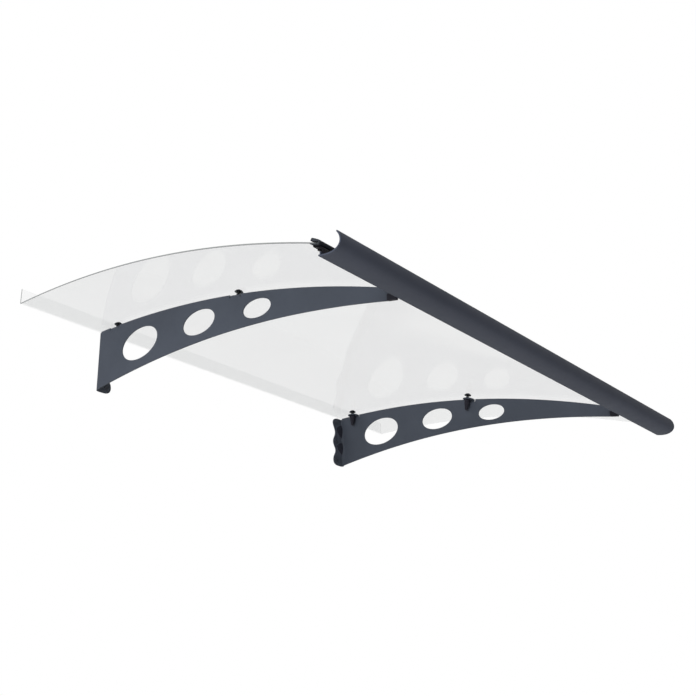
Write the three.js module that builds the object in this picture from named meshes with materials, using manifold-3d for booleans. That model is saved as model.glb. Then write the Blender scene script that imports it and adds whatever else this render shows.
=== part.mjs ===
// Door canopy: a clear arched panel on two folded sheet-steel wall brackets, with a channel along the
// panel's front edge and a gutter hung in front of and below it.
//
// Millimetres, +Z up. X runs along the wall, Y = 0 is the wall's face, where the bracket flanges lie against
// it, and the canopy reaches out to -Y. The panel's upstand is let into a chase in the wall, behind Y = 0.
// The origin is on the wall's face in the middle of the width, 22 mm above the bracket webs' top back corner.
// Inside the group `canopy` heights are counted from the top back corner of the bracket webs (DATUM_Z).

import * as THREE from 'three';
import Module from 'manifold-3d';
import { mergeVertices } from 'three/addons/utils/BufferGeometryUtils.js';
import { ConvexGeometry } from 'three/addons/geometries/ConvexGeometry.js';

// ---------------------------------------------------------------- driving dimensions
const WIDTH = 1350;              // panel, along the wall
const BAR_LENGTH = 1360;         // channel and gutter
const DATUM_Z = -22;             // the bracket webs' top back corner below the origin
const BRACKET_OUTER_X = 458.4;   // outer face of each bracket web from the centre
const SHEET = 2.5;               // bracket sheet thickness
const BEND_R = 4;                // outside radius of the bracket's folds
const PANEL_T = 3;               // clear panel
const PANEL_LIFT = 4.5;          // panel's underside above the bracket web's top edge
const PANEL_BACK = 13;           // the upstand's back face behind the wall's face
const UPSTAND_TOP = 44;          // top of the panel's upstand
const UPSTAND_R = 4.5;           // outside radius of the upstand's bend
const FIX_Y = [-56.5, -474];     // panel fixings, from the wall
const FIX_X = 447.1;             // panel fixings, from the centre
const GAP = 0.3;                 // clearance between pieces that touch
const SEG = 20;                  // facets round a turned piece

// bracket web: height of its top and bottom edge against the distance from the wall
const UNIT = 914.334;
const TOP_EDGE = [0, 0.0299, -0.1729, 0.0074, -0.0040];
const LOW_EDGE = [-0.1657, -0.1131, -0.1582, 0.0480, 0.0193];
const WEB_FRONT = -906;          // front end of the web
const NOTCH_Y = -884;            // rear end of the notch that takes the tip clip
const NOTCH_Z = -204;            // its top

// the three elliptical holes: centre y, z, half length, half height, tilt in degrees
const HOLES = [
  [-156.1, -75.8, 63.4, 39.6, 0],
  [-360.2, -87.1, 51.9, 29.7, 4.5],
  [-541.0, -112.2, 41.5, 21.7, 8.5],
];

// folded tabs along the web's top edge: distance from the wall, lift above the edge, length, width, hole
const TABS = [
  { y: -58, lift: 0, len: 30, wide: 25, round: 13.5, hole: 6.8, holeIn: BRACKET_OUTER_X - FIX_X, holeBack: 1.5 },
  { y: -476.5, lift: 0, len: 30, wide: 25, round: 13.5, hole: 6.8, holeIn: BRACKET_OUTER_X - FIX_X, holeBack: 2.5 },
  { y: -894.5, lift: 1.5, len: 19, wide: 22, round: 6, hole: 4.6, holeIn: 13, holeBack: 0 },
];

// ---------------------------------------------------------------- materials
const mat = (color, roughness, metalness) => new THREE.MeshStandardMaterial({ color, roughness, metalness });
const CLEAR = new THREE.MeshStandardMaterial({ color: 0xf2f5f7, roughness: 0.05, metalness: 0, transparent: true, opacity: 0.3 });
const SLATE = mat(0x4e545f, 0.5, 0.2);
const ANTHRACITE = mat(0x3d414a, 0.5, 0.2);
const BLACK = mat(0x1c1c20, 0.55, 0);
const RUBBER = mat(0x121214, 0.85, 0);
const GREY = mat(0x464a52, 0.5, 0);

// ---------------------------------------------------------------- solids
const wasm = await Module();
wasm.setup();

function solid(geometry) {
  const g = geometry.clone();
  g.deleteAttribute('normal');
  g.deleteAttribute('uv');
  const m = mergeVertices(g, 1e-4);
  const vertProperties = new Float32Array(m.attributes.position.array);
  const triVerts = new Uint32Array(m.index.array);
  return new wasm.Manifold(new wasm.Mesh({ numProp: 3, vertProperties, triVerts }));
}

function geometryOf(manifold) {
  const mesh = manifold.getMesh();
  const g = new THREE.BufferGeometry();
  g.setAttribute('position', new THREE.BufferAttribute(new Float32Array(mesh.vertProperties), 3));
  g.setIndex(new THREE.BufferAttribute(new Uint32Array(mesh.triVerts), 1));
  g.computeVertexNormals();
  return g;
}

// the same piece on the other side of the centre plane
function mirrored(geometry) {
  const g = geometry.clone();
  const p = g.attributes.position;
  for (let i = 0; i < p.count; i++) p.setX(i, -p.getX(i));
  const t = g.index;
  for (let i = 0; i < t.count; i += 3) {
    const b = t.getX(i + 1);
    t.setX(i + 1, t.getX(i + 2));
    t.setX(i + 2, b);
  }
  g.computeVertexNormals();
  return g;
}

const shapeOf = (points) => new THREE.Shape(points.map(([a, b]) => new THREE.Vector2(a, b)));

// an outline in (y, z) pushed along X from x0 to x1
function alongX(shape, x0, x1, curveSegments = 12) {
  const g = new THREE.ExtrudeGeometry(shape, { depth: x1 - x0, bevelEnabled: false, curveSegments });
  g.translate(0, 0, x0);
  g.applyMatrix4(new THREE.Matrix4().makeBasis(
    new THREE.Vector3(0, 1, 0), new THREE.Vector3(0, 0, 1), new THREE.Vector3(1, 0, 0)));
  return g;
}

// an outline in (x, z) pushed along -Y from y = 0, `depth` thick
function fromWall(shape, depth, curveSegments = 12) {
  const g = new THREE.ExtrudeGeometry(shape, { depth, bevelEnabled: false, curveSegments });
  g.applyMatrix4(new THREE.Matrix4().makeBasis(
    new THREE.Vector3(1, 0, 0), new THREE.Vector3(0, 0, 1), new THREE.Vector3(0, -1, 0)));
  return g;
}

// an outline in (x, y) pushed up from z0 to z1
function upward(shape, z0, z1, curveSegments = 12) {
  const g = new THREE.ExtrudeGeometry(shape, { depth: z1 - z0, bevelEnabled: false, curveSegments });
  g.translate(0, 0, z0);
  return g;
}

// turned about the local Z axis from [radius, height] points that close on themselves or on the axis
function turned(points, segments = SEG) {
  const g = new THREE.LatheGeometry(points.map(([r, h]) => new THREE.Vector2(r, h)), segments);
  g.rotateX(Math.PI / 2);
  return g;
}

// ---------------------------------------------------------------- curves
const poly = (c, u) => c.reduce((sum, ci, i) => sum + ci * u ** i, 0);
const topZ = (y) => UNIT * poly(TOP_EDGE, y / UNIT);
const lowZ = (y) => UNIT * poly(LOW_EDGE, y / UNIT);
const slope = (y) => (topZ(y + 0.5) - topZ(y - 0.5));
// a point `n` above the web's top edge, square to it
function above(y, n) {
  const s = slope(y);
  const k = Math.hypot(1, s);
  return [y - (s / k) * n, topZ(y) + n / k];
}
const tilt = (y) => Math.atan(slope(y));

// ---------------------------------------------------------------- clear panel
const PANEL_FRONT = -903.5;      // front edge of the panel, inside the channel
function panelGeometry() {
  const n = 44;
  const under = [];
  const over = [];
  for (let i = 0; i <= n; i++) {
    const y = PANEL_FRONT + (PANEL_BACK - UPSTAND_R - PANEL_FRONT) * (i / n);
    under.push(above(y, PANEL_LIFT));
    over.push(above(y, PANEL_LIFT + PANEL_T));
  }
  const base = under[n][1];
  const cz = base + UPSTAND_R;
  const outline = [...under];
  for (let i = 1; i <= 6; i++) {
    const a = (i / 6) * Math.PI / 2;
    outline.push([PANEL_BACK - UPSTAND_R + UPSTAND_R * Math.sin(a), cz - UPSTAND_R * Math.cos(a)]);
  }
  outline.push([PANEL_BACK, UPSTAND_TOP], [PANEL_BACK - PANEL_T, UPSTAND_TOP]);
  const r = UPSTAND_R - PANEL_T;
  for (let i = 6; i >= 1; i--) {
    const a = (i / 6) * Math.PI / 2;
    outline.push([PANEL_BACK - UPSTAND_R + r * Math.sin(a), cz - r * Math.cos(a)]);
  }
  outline.push(...over.reverse());
  let body = solid(alongX(shapeOf(outline), -WIDTH / 2, WIDTH / 2));
  for (const y of FIX_Y) {
    for (const x of [-FIX_X, FIX_X]) {
      const drill = new THREE.CylinderGeometry(3.6, 3.6, 40, SEG);
      drill.rotateX(Math.PI / 2);
      drill.rotateX(tilt(y));
      drill.translate(x, y, topZ(y));
      body = body.subtract(solid(drill));
    }
  }
  return geometryOf(body);
}

// ---------------------------------------------------------------- front channel
// its own axes: s runs outward along the panel, n square to it, zero on the panel's mid plane
const CHANNEL_Y = -889.7;
const CHANNEL_TILT = tilt(-897);
const [MID_Y, MID_Z] = above(CHANNEL_Y, PANEL_LIFT + PANEL_T / 2);
const CH = { y: MID_Y, z: MID_Z };
const channelPoint = (s, n) => {
  const c = Math.cos(CHANNEL_TILT);
  const d = Math.sin(CHANNEL_TILT);
  return [CH.y - s * c - n * d, CH.z - s * d + n * c];
};
const CHANNEL_SECTION = [
  [-2.4, 2.1], [-2.2, 5.8], [-1.6, 7.3], [-0.2, 7.9], [6, 7.2], [16.5, 5.4], [19.4, 4.2], [20.6, 2.1],
  [20.6, -1.8], [19.6, -3.3], [17.5, -4.1], [1.0, -4.2], [-1.8, -3.4], [-2.4, -2.1],
  [16.2, -2.1], [16.8, -1.5], [16.8, 1.5], [16.2, 2.1],
];
const TIP_SCREW_S = 5.2;         // tip screw, along the channel's own s axis
const TIP_SCREW_X = BRACKET_OUTER_X - 13;
const HANGER_X = 661;            // middle of each hanger
const HANGER_W = 27;
const HANGER_SCREW_S = 6.5;
function channelGeometry() {
  const outline = CHANNEL_SECTION.map(([s, n]) => channelPoint(s, n));
  let body = solid(alongX(shapeOf(outline), -BAR_LENGTH / 2, BAR_LENGTH / 2));
  for (const [x, s] of [[TIP_SCREW_X, TIP_SCREW_S], [HANGER_X, HANGER_SCREW_S]]) {
    for (const side of [-1, 1]) {
      const drill = new THREE.CylinderGeometry(2.3, 2.3, 4, 12);
      drill.rotateX(Math.PI / 2);
      drill.rotateX(CHANNEL_TILT);
      const [y, z] = channelPoint(s, -3.4);
      drill.translate(side * x, y, z);
      body = body.subtract(solid(drill));
    }
  }
  return geometryOf(body);
}

// ---------------------------------------------------------------- gutter
const GUTTER_T = 2.9;
const RIB = { rear: -911.0, front: -913.0, top: -206.0 };
const GUTTER_OUTER = [
  [-951.0, -179.4], [-954.5, -184.4], [-957.2, -190.9], [-958.3, -198.0], [-956.9, -205.4],
  [-952.0, -211.7], [-944.2, -215.7], [-934.0, -217.5], [-923.0, -216.9], [-914.0, -215.2], [-908.0, -213.6],
];
function gutterCurves() {
  const curve = new THREE.CatmullRomCurve3(GUTTER_OUTER.map(([y, z]) => new THREE.Vector3(y, z, 0)), false, 'centripetal');
  const n = 34;
  const outer = [];
  const inner = [];
  for (let i = 0; i <= n; i++) {
    const p = curve.getPoint(i / n);
    const t = curve.getTangent(i / n);
    outer.push([p.x, p.y]);
    inner.push([p.x - t.y * GUTTER_T, p.y + t.x * GUTTER_T]);
  }
  return { outer, inner };
}
const GUTTER = gutterCurves();
function gutterFloor(y) {
  const c = GUTTER.inner;
  for (let i = c.length - 1; i > 0; i--) {
    const [y0, z0] = c[i - 1];
    const [y1, z1] = c[i];
    if (y <= y1 && y >= y0 && z0 < -205) return z0 + (z1 - z0) * (y - y0) / (y1 - y0);
  }
  return c[c.length - 1][1];
}
function gutterGeometry() {
  // round the front lip, then the outside, the rear lip and back along the inside with its rib
  const { outer, inner } = GUTTER;
  const mid = (a, b) => [(a[0] + b[0]) / 2, (a[1] + b[1]) / 2];
  const lip = mid(outer[0], inner[0]);
  const t0 = [outer[0][0] - outer[1][0], outer[0][1] - outer[1][1]];
  const l0 = Math.hypot(...t0);
  const nose = [lip[0] + (t0[0] / l0) * 1.0, lip[1] + (t0[1] / l0) * 1.0];
  const last = outer.length - 1;
  const outline = [nose, ...outer];
  const rear = mid(outer[last], inner[last]);
  outline.push([rear[0] + 0.7, rear[1] + 0.1]);
  for (let i = last; i >= 0; i--) {
    const [y] = inner[i];
    if (i < last && inner[i + 1][0] > RIB.rear && y <= RIB.rear) {
      outline.push([RIB.rear, gutterFloor(RIB.rear)], [RIB.rear, RIB.top - 0.6], [RIB.rear - 0.5, RIB.top],
        [RIB.front + 0.5, RIB.top], [RIB.front, RIB.top - 0.6], [RIB.front, gutterFloor(RIB.front)]);
    }
    if (y < RIB.rear && y > RIB.front) continue;
    outline.push(inner[i]);
  }
  return alongX(shapeOf(outline), -BAR_LENGTH / 2, BAR_LENGTH / 2);
}

// ---------------------------------------------------------------- hanger between channel and gutter
function hangerGeometry() {
  const under = (s) => channelPoint(s, -4.2 - GAP);
  const below = (s) => channelPoint(s, -4.2 - GAP - 2.5);
  const foot = (y) => [y, gutterFloor(y) + 0.45];
  const outline = [
    under(2.0), below(2.0), below(15.2), [-914.2, -203.2], [-908.8, -203.2],
    foot(-908.8), foot(RIB.rear + GAP), [RIB.rear + GAP, RIB.top + GAP], [RIB.front - GAP, RIB.top + GAP],
    foot(RIB.front - GAP), foot(-916), foot(-919), foot(-922), foot(-925), [-925, gutterFloor(-925) + 3.0], [-917.4, -206.4], [-917.0, -200.0],
    under(21.0), under(17.5),
  ];
  const x0 = -HANGER_X - HANGER_W / 2;
  let body = solid(alongX(shapeOf(outline), x0, x0 + HANGER_W));
  const drill = new THREE.CylinderGeometry(2.5, 2.5, 12, 16);
  drill.rotateX(Math.PI / 2);
  drill.rotateX(CHANNEL_TILT);
  const [y, z] = channelPoint(HANGER_SCREW_S, -6);
  drill.translate(-HANGER_X, y, z);
  body = body.subtract(solid(drill));
  return geometryOf(body);
}

// ---------------------------------------------------------------- bracket (the left one, x from its outer face inward)
const EARS = [
  [13, -3], [20, -3.1], [27.5, -4.4], [35, -8.0], [39.5, -14], [40.2, -19], [38.4, -27], [34.2, -36.5],
  [31.4, -44], [30.9, -49], [32.4, -57], [36.6, -66], [39.9, -73], [41.0, -79.5], [39.8, -87], [35.8, -95],
  [32.2, -101.5], [31.2, -106.5], [32.7, -114], [36.7, -121.5], [40.4, -129.5], [41.8, -137.5], [40.2, -145.6],
  [36.2, -150.4], [29, -153.2], [20, -153.9], [13, -153.9],
];
const WALL_HOLES = [[27.5, -18], [28, -79.5], [28.5, -138.5]];
const GUSSETS = [
  // top and bottom on the fold, reach along the flange, reach along the web, height of the ridge
  { top: -21, low: -64, flange: 25.5, web: 7.5, ridge: -37 },
  { top: -77, low: -117, flange: 25.5, web: 7.5, ridge: -94 },
];

function webGeometry() {
  const top = [];
  // back corner, relieved where the fold starts
  top.push([-BEND_R, -3.0], [-BEND_R - 1.2, -3.0], [-BEND_R - 3.5, topZ(-BEND_R - 3.5)]);
  const stops = [];
  for (const t of TABS) {
    stops.push({ from: t.y + t.len / 2, to: t.y - t.len / 2 });
  }
  const relief = 2.4;
  const deep = 7;
  const step = 18;
  let y = -BEND_R - 3.5 - 8;
  for (const [i, s] of stops.entries()) {
    const start = s.from + relief;
    const end = Math.max(s.to - relief, WEB_FRONT);
    for (; y > start + 2; y -= step) top.push([y, topZ(y)]);
    top.push([start, topZ(start)]);
    top.push(above(start, -deep), above(s.from, -deep), above(s.from, -BEND_R - 1));
    top.push(above(s.to, -BEND_R - 1));
    if (i < 2) {
      top.push(above(s.to, -deep), above(end, -deep), [end, topZ(end)]);
      y = end - step / 2;
    }
  }
  const last = above(stops[2].to, -BEND_R - 1);
  const low = [];
  low.push([last[0], NOTCH_Z], [NOTCH_Y, NOTCH_Z], [NOTCH_Y, lowZ(NOTCH_Y)]);
  for (let q = NOTCH_Y + step; q < -10; q += step) low.push([q, lowZ(q)]);
  low.push([-8.5, lowZ(-8.5)], [-BEND_R - 0.8, -152.8], [-BEND_R, -153.2]);
  const shape = shapeOf([...top, ...low]);
  for (const [cy, cz, a, b, deg] of HOLES) {
    const hole = new THREE.Path();
    hole.absellipse(cy, cz, a, b, 0, Math.PI * 2, false, THREE.MathUtils.degToRad(deg));
    shape.holes.push(hole);
  }
  return alongX(shape, 0, SHEET, 20);
}

// the quarter turn between web and flange
function foldGeometry(z0, z1) {
  const s = new THREE.Shape();
  s.moveTo(0, -BEND_R - 0.02);
  for (let i = 0; i <= 5; i++) {
    const a = (i / 5) * Math.PI / 2;
    s.lineTo(BEND_R - BEND_R * Math.cos(a), -BEND_R + BEND_R * Math.sin(a));
  }
  s.lineTo(BEND_R + 0.02, 0);
  s.lineTo(BEND_R + 0.02, -SHEET);
  const r = BEND_R - SHEET;
  for (let i = 5; i >= 0; i--) {
    const a = (i / 5) * Math.PI / 2;
    s.lineTo(BEND_R - r * Math.cos(a), -BEND_R + r * Math.sin(a));
  }
  s.lineTo(SHEET, -BEND_R - 0.02);
  s.closePath();
  return upward(s, z0, z1);
}

function flangeGeometry() {
  const free = new THREE.CatmullRomCurve3(EARS.map(([x, z]) => new THREE.Vector3(x, z, 0)), false, 'centripetal');
  const pts = free.getPoints(58).map((p) => [p.x, p.y]);
  const shape = shapeOf([[BEND_R, -153.4], [BEND_R, -3.0], ...pts]);
  for (const [x, z] of WALL_HOLES) {
    const hole = new THREE.Path();
    hole.absellipse(x, z, 3.25, 3.25, 0, Math.PI * 2, false, 0);
    shape.holes.push(hole);
  }
  return fromWall(shape, SHEET, 8);
}

function tabGeometry({ y, lift, len, wide, round, hole, holeIn, holeBack }) {
  const R = BEND_R;
  const r = BEND_R - SHEET;
  const s = new THREE.Shape();           // x inward, second axis square to the panel
  s.moveTo(0, -8 - lift);
  for (let i = 0; i <= 5; i++) {
    const a = (i / 5) * Math.PI / 2;
    s.lineTo(R - R * Math.cos(a), -R + R * Math.sin(a));
  }
  s.lineTo(wide, 0);
  s.lineTo(wide, -SHEET);
  for (let i = 5; i >= 0; i--) {
    const a = (i / 5) * Math.PI / 2;
    s.lineTo(R - r * Math.cos(a), -R + r * Math.sin(a));
  }
  s.lineTo(SHEET, -8 - lift);
  s.closePath();
  const strip = new THREE.ExtrudeGeometry(s, { depth: len, bevelEnabled: false });
  strip.translate(0, 0, -len / 2);
  // local (x, n, along) -> (x, -along, n)
  strip.applyMatrix4(new THREE.Matrix4().makeBasis(
    new THREE.Vector3(1, 0, 0), new THREE.Vector3(0, 0, 1), new THREE.Vector3(0, -1, 0)));
  // rounded free corners
  const c = round;
  const h = len / 2;
  const plan = new THREE.Shape();
  plan.moveTo(-1, -h - 1);
  plan.lineTo(SHEET + 0.5, -h - 1);
  plan.lineTo(SHEET + 0.5, -h);
  plan.lineTo(wide - c, -h);
  plan.absarc(wide - c, -h + c, c, -Math.PI / 2, 0, false);
  plan.absarc(wide - c, h - c, c, 0, Math.PI / 2, false);
  plan.lineTo(SHEET + 0.5, h);
  plan.lineTo(SHEET + 0.5, h + 1);
  plan.lineTo(-1, h + 1);
  plan.closePath();
  let body = solid(strip).intersect(solid(upward(plan, -20, 5, 5)));
  const drill = new THREE.CylinderGeometry(hole / 2, hole / 2, 12, SEG);
  drill.rotateX(Math.PI / 2);
  drill.translate(holeIn, holeBack, 0);
  body = body.subtract(solid(drill));
  const g = geometryOf(body);
  g.rotateX(tilt(y));
  const [ty, tz] = above(y, lift);
  g.translate(0, ty, tz);
  return g;
}

function gussetGeometry({ top, low, flange, web, ridge }) {
  const e = 0.8;                          // sunk into the sheet
  const v = (x, y, z) => new THREE.Vector3(x, y, z);
  return new ConvexGeometry([
    v(SHEET - e, -SHEET + e, top), v(SHEET - e, -SHEET + e, low),
    v(flange, -SHEET + e, ridge), v(flange, -SHEET - 0.3, ridge), v(flange - 2, -SHEET + e, ridge - 4),
    v(SHEET - e, -web, ridge), v(SHEET + 0.3, -web, ridge), v(SHEET - e, -web + 2, ridge - 4),
  ]);
}

function bracketGeometry() {
  let body = solid(webGeometry());
  body = body.add(solid(foldGeometry(-153.2, -3.0)));
  body = body.add(solid(flangeGeometry()));
  for (const g of GUSSETS) body = body.add(solid(gussetGeometry(g)));
  for (const t of TABS) body = body.add(solid(tabGeometry(t)));
  const g = geometryOf(body);
  g.translate(-BRACKET_OUTER_X, 0, 0);
  return g;
}

// ---------------------------------------------------------------- clip at the bracket's tip
function tipClipGeometry() {
  const mid = -BRACKET_OUTER_X + SHEET / 2;
  const outline = [
    [NOTCH_Y - GAP, lowZ(NOTCH_Y - GAP) + 0.2], [NOTCH_Y - GAP, -198.6], [NOTCH_Y - 1.5, -198.0],
    [-903.5, -198.0], [-905.4, -199.5], [-905.4, -208.2], [-909.8, -208.2],
    [-910.4, gutterFloor(-910.4) + GAP], [-908, gutterFloor(-908) + GAP], [-905.6, gutterFloor(-908) + GAP],
    [-905.4, -214.9], [-904.6, -215.2],
  ].reverse();
  let body = solid(alongX(shapeOf(outline), mid - 3.4, mid + 3.4));
  const slot = new THREE.BoxGeometry(SHEET + 2 * GAP, 60, 20);
  slot.translate(mid, -895, NOTCH_Z - GAP + 10);
  body = body.subtract(solid(slot));
  return geometryOf(body);
}

// ---------------------------------------------------------------- turned pieces
const capGeometry = () => turned([
  [0, -12.5], [2.4, -12.5], [3, -11.9], [3, 8.9], [9.4, 8.9], [9.9, 9.2], [9.8, 9.9], [8.6, 11.3],
  [6.6, 13.0], [3.7, 14.4], [0, 14.9],
]);
const ringGeometry = () => turned([[3.3, 7.8], [8.3, 7.8], [8.3, 8.6], [3.3, 8.6], [3.3, 7.8]]);
const sleeveGeometry = () => turned([
  [3.3, 0.3], [4.9, 0.3], [4.9, 4.2], [3.3, 4.2], [3.3, 0.3],
]);
const coneGeometry = () => turned([
  [0, -33], [2.8, -32.8], [3.9, -31.6], [5.2, -26], [6.9, -17], [8.0, -8.5], [8.4, -5.2], [8.1, -3.2], [7.2, -2.8],
  [3.3, -2.8], [3.3, -14], [0, -14],
]);
// blind plug that fills a wall flange's screw hole until the canopy is mounted
const plugGeometry = () => turned([
  [0, 0.4], [2.75, 0.4], [2.95, 0.6], [2.95, 2.8], [5.2, 2.8], [5.5, 3.1], [5.4, 3.5], [4.6, 3.9], [2.5, 4.15], [0, 4.2],
]);
const screwGeometry = (grip) => turned([
  [0, -grip - 2.6], [2.6, -grip - 2.4], [3.9, -grip - 1.4], [4.0, -grip - GAP], [2.0, -grip - GAP],
  [2.0, -0.3], [1.4, 0], [0, 0],
], 16);

// ---------------------------------------------------------------- assembly
const door_canopy = new THREE.Group();
const canopy = new THREE.Group();
canopy.position.z = DATUM_Z;
door_canopy.add(canopy);

function place(parent, name, geometry, material) {
  const m = new THREE.Mesh(geometry, material);
  m.name = name;
  parent.add(m);
  return m;
}

place(canopy, 'roof_panel', panelGeometry(), CLEAR);
place(canopy, 'front_channel', channelGeometry(), BLACK);
place(canopy, 'gutter_profile', gutterGeometry(), ANTHRACITE);

const bracket = bracketGeometry();
place(canopy, 'bracket_left', bracket, SLATE);
place(canopy, 'bracket_right', mirrored(bracket), SLATE);

const clip = tipClipGeometry();
place(canopy, 'tip_clip_left', clip, BLACK);
place(canopy, 'tip_clip_right', mirrored(clip), BLACK);

const hanger = hangerGeometry();
place(canopy, 'gutter_hanger_left', hanger, BLACK);
place(canopy, 'gutter_hanger_right', mirrored(hanger), BLACK);

for (const [side, word] of [[-1, 'left'], [1, 'right']]) {
  for (const [i, y] of FIX_Y.entries()) {
    const fixing = new THREE.Group();
    fixing.position.set(side * FIX_X, y, topZ(y));
    fixing.rotation.x = tilt(y);
    canopy.add(fixing);
    const at = `${word}_${i === 0 ? 'rear' : 'front'}`;
    place(fixing, `fixing_cap_${at}`, capGeometry(), BLACK);
    place(fixing, `sealing_ring_${at}`, ringGeometry(), RUBBER);
    place(fixing, `spacer_sleeve_${at}`, sleeveGeometry(), BLACK);
    place(fixing, `cone_nut_${at}`, coneGeometry(), BLACK);
  }
  const screws = [
    [`tip_screw_${word}`, TIP_SCREW_X, TIP_SCREW_S, 2.3 + SHEET + 0.1],
    [`hanger_screw_${word}`, HANGER_X, HANGER_SCREW_S, 2.3 + SHEET + 0.1],
  ];
  for (const [name, x, s, grip] of screws) {
    const seat = new THREE.Group();
    const [y, z] = channelPoint(s, -2.2);
    seat.position.set(side * x, y, z);
    seat.rotation.x = CHANNEL_TILT;
    canopy.add(seat);
    place(seat, name, screwGeometry(grip), BLACK);
  }
  for (const [i, row] of ['top', 'middle', 'bottom'].entries()) {
    const [inward, z] = WALL_HOLES[i];
    const seat = new THREE.Group();
    seat.position.set(side * (BRACKET_OUTER_X - inward), 0, z);
    seat.rotation.x = Math.PI / 2;
    canopy.add(seat);
    place(seat, `wall_plug_${word}_${row}`, plugGeometry(), GREY);
  }
}

export default door_canopy;
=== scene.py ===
import math

import bpy
import bmesh
from mathutils import Matrix, Vector
from mathutils.geometry import delaunay_2d_cdt


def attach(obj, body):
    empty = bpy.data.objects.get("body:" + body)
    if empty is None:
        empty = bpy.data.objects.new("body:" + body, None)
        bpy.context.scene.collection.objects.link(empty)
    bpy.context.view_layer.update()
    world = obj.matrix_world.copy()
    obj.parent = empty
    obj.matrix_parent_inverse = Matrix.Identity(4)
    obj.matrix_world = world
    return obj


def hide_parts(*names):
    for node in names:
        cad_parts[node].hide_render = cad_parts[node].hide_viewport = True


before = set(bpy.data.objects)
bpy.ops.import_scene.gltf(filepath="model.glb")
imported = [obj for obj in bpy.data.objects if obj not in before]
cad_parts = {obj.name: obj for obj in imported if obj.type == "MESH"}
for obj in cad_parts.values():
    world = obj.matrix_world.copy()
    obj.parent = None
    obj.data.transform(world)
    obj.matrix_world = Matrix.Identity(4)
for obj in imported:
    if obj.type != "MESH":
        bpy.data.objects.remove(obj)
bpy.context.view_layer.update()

MM = 0.001
DATUM_Z = -22.0

# ---------------------------------------------------------------- driving dimensions, in millimetres
WIDTH = 1350.0
BAR_LENGTH = 1360.0
OUTER_X = 458.4
SHEET = 2.5
BEND_R = 4.0
MID_R = BEND_R - SHEET / 2
ARC = MID_R * math.pi / 2
PANEL_T = 3.0
PANEL_LIFT = 4.5
PANEL_BACK = 13.0
UPSTAND_TOP = 44.0
UPSTAND_R = 4.5
PANEL_FRONT = -903.5
FIX_Y = (-56.5, -474.0)
FIX_X = 447.1
GAP = 0.3
UNIT = 914.334
TOP_EDGE = (0, 0.0299, -0.1729, 0.0074, -0.0040)
LOW_EDGE = (-0.1657, -0.1131, -0.1582, 0.0480, 0.0193)
NOTCH_Y = -884.0
NOTCH_Z = -204.0
HOLES = ((-156.1, -75.8, 63.4, 39.6, 0.0), (-360.2, -87.1, 51.9, 29.7, 4.5), (-541.0, -112.2, 41.5, 21.7, 8.5))
TABS = (
    dict(y=-58.0, lift=0.0, len=30.0, wide=25.0, round=13.5, hole=6.8, hole_in=OUTER_X - FIX_X, hole_back=1.5),
    dict(y=-476.5, lift=0.0, len=30.0, wide=25.0, round=13.5, hole=6.8, hole_in=OUTER_X - FIX_X, hole_back=2.5),
    dict(y=-894.5, lift=1.5, len=19.0, wide=22.0, round=6.0, hole=4.6, hole_in=13.0, hole_back=0.0),
)
EARS = (
    (13, -3), (20, -3.1), (27.5, -4.4), (35, -8.0), (39.5, -14), (40.2, -19), (38.4, -27), (34.2, -36.5),
    (31.4, -44), (30.9, -49), (32.4, -57), (36.6, -66), (39.9, -73), (41.0, -79.5), (39.8, -87), (35.8, -95),
    (32.2, -101.5), (31.2, -106.5), (32.7, -114), (36.7, -121.5), (40.4, -129.5), (41.8, -137.5), (40.2, -145.6),
    (36.2, -150.4), (29, -153.2), (20, -153.9), (13, -153.9),
)
WALL_HOLES = ((27.5, -18.0), (28.0, -79.5), (28.5, -138.5))
GUSSETS = (dict(top=-21.0, low=-64.0, flange=25.5, web=7.5, ridge=-37.0),
           dict(top=-77.0, low=-117.0, flange=25.5, web=7.5, ridge=-94.0))
CHANNEL_Y = -889.7
CHANNEL_SECTION = (
    (-2.4, 2.1), (-2.2, 5.8), (-1.6, 7.3), (-0.2, 7.9), (6, 7.2), (16.5, 5.4), (19.4, 4.2), (20.6, 2.1),
    (20.6, -1.8), (19.6, -3.3), (17.5, -4.1), (1.0, -4.2), (-1.8, -3.4), (-2.4, -2.1),
    (16.2, -2.1), (16.8, -1.5), (16.8, 1.5), (16.2, 2.1),
)
TIP_SCREW_S = 5.2
TIP_SCREW_X = OUTER_X - 13.0
HANGER_X = 661.0
HANGER_W = 27.0
HANGER_SCREW_S = 6.5
GUTTER_T = 2.9
RIB_REAR, RIB_FRONT, RIB_TOP = -911.0, -913.0, -206.0
GUTTER_OUTER = (
    (-951.0, -179.4), (-954.5, -184.4), (-957.2, -190.9), (-958.3, -198.0), (-956.9, -205.4),
    (-952.0, -211.7), (-944.2, -215.7), (-934.0, -217.5), (-923.0, -216.9), (-914.0, -215.2), (-908.0, -213.6),
)


# ---------------------------------------------------------------- curves
def poly(c, u):
    return sum(k * u ** i for i, k in enumerate(c))


def top_z(y):
    return UNIT * poly(TOP_EDGE, y / UNIT)


def low_z(y):
    return UNIT * poly(LOW_EDGE, y / UNIT)


def slope(y):
    return top_z(y + 0.5) - top_z(y - 0.5)


def above(y, n):
    s = slope(y)
    k = math.hypot(1, s)
    return (y - s / k * n, top_z(y) + n / k)


def tilt(y):
    return math.atan(slope(y))


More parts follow.
